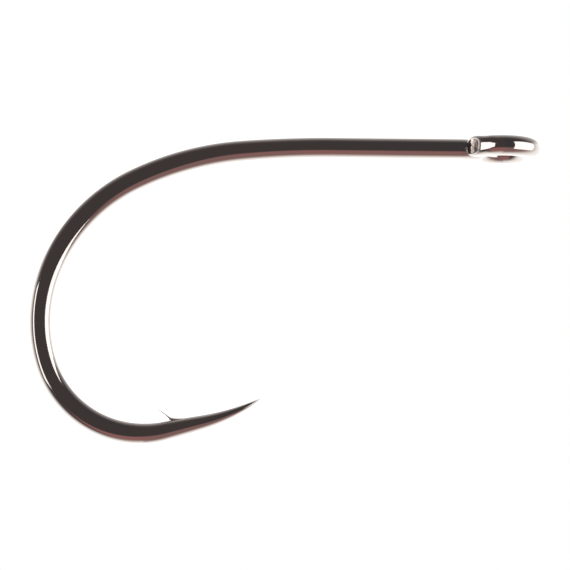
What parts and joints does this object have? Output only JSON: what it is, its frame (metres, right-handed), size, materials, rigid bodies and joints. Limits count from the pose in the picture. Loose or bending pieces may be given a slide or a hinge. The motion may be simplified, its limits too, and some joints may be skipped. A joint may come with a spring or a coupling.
{
  "type": "fishing hook",
  "caption": "Ring-eyed single fishing hook of dark plated steel wire, with a round shank, a wide forged bend, an incurved needle point and a small cut barb.",
  "frame": {"origin": "centre of the hole through the eye, on the shank's axis", "axes": "+Z along the eye's hole, away from the point; +X along the shank from the bend towards the eye; +Y across the hook, away from the side on which the eye's sheared end lies"},
  "size_m": [0.025, 0.0038, 0.0152],
  "materials": {
    "plated_wire": "black nickel plating, mirror bright with faint drawing lines",
    "sheared_end": "plated wire with a torn, streaked shear face"
  },
  "bodies": {
    "root": {"eye_ring": "plated_wire", "eye_neck": "plated_wire", "eye_tag": "sheared_end", "shank": "plated_wire", "bend_front": "plated_wire", "bend_heel": "plated_wire", "bend_throat": "plated_wire", "spear": "plated_wire", "barb": "plated_wire", "point": "plated_wire"}
  },
  "joints": []
}
